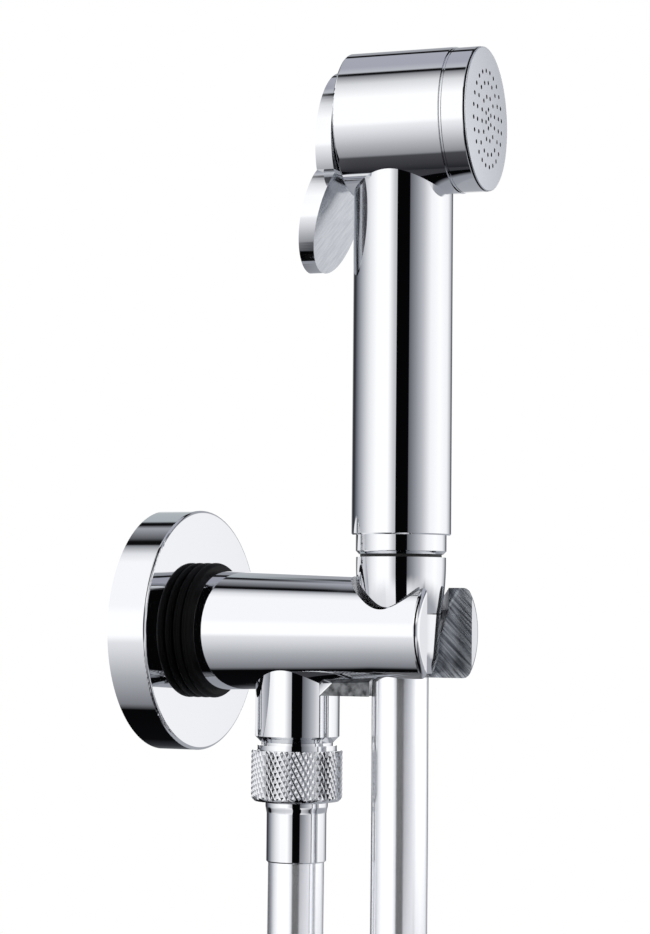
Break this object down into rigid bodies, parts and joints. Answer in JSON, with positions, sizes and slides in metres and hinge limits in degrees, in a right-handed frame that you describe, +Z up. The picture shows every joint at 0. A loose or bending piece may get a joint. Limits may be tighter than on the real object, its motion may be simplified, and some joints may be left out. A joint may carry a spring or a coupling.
{
  "type": "handheld bidet shower",
  "caption": "Handheld bidet shower: trigger spray with round head and straight handle, standing in the slotted holder of a wall outlet arm, joined to it by a hanging hose.",
  "frame": {"origin": "on the axis of the arm and its inlet thread, in the plane of the wall", "axes": "+Y into the wall along the inlet thread, -Y out along the arm to the holder, +Z up, +X across"},
  "size_m": [0.1804, 0.1038, 0.599],
  "materials": {
    "chrome": "polished chrome plate on brass",
    "satin_steel": "satin stainless steel, fine drilled holes",
    "steel": "plain stainless steel",
    "brass": "turned brass",
    "black_rubber": "black rubber",
    "white_plastic": "moulded white plastic",
    "silver_hose": "smooth clear layer over a silver hose"
  },
  "bodies": {
    "bracket": {"wall_flange": "chrome", "wall_seal": "black_rubber", "collar_ring": "black_rubber", "bracket_body": "chrome", "outlet_nipple": "chrome", "union_nut": "chrome", "outlet_washer": "black_rubber", "outlet_hose_insert": "brass", "outlet_ferrule": "chrome", "hose": "silver_hose", "swivel_cone": "chrome", "swivel_insert": "brass"},
    "handset": {"cone_nut": "chrome", "swivel_washer": "black_rubber", "handle_plug": "chrome", "plug_o_ring": "black_rubber", "handset_body": "chrome", "spray_cap": "chrome", "plate_ring": "black_rubber", "spray_plate": "satin_steel", "flow_disc": "white_plastic", "valve_seat": "brass", "valve_bush": "brass", "stem_o_ring": "black_rubber", "valve_spring": "steel", "lever_pin": "steel"},
    "lever": {"lever": "chrome"},
    "valve_stem": {"valve_stem": "steel", "valve_disc": "black_rubber"}
  },
  "joints": [
    {"name": "handset_swivel", "type": "hinge", "parent": "bracket", "child": "handset", "pos_m": [0, -0.068, 0], "axis": [0, 0, 1], "continuous": true},
    {"name": "trigger", "type": "hinge", "parent": "handset", "child": "lever", "pos_m": [-0.00093, -0.05789, 0.1172], "axis": [-0.9958, -0.0915, 0], "range_deg": [0, 11.5], "stiffness_Nm_per_rad": 0.6, "springref_deg": -6.88},
    {"name": "valve_slide", "type": "slide", "parent": "handset", "child": "valve_stem", "axis": [-0.0915, 0.9958, 0], "range_m": [0, 0.0027], "deforming": ["valve_spring"]}
  ],
  "couplings": [
    {"joint": "valve_slide", "follows": "trigger", "m_per_rad": 0.0134}
  ]
}
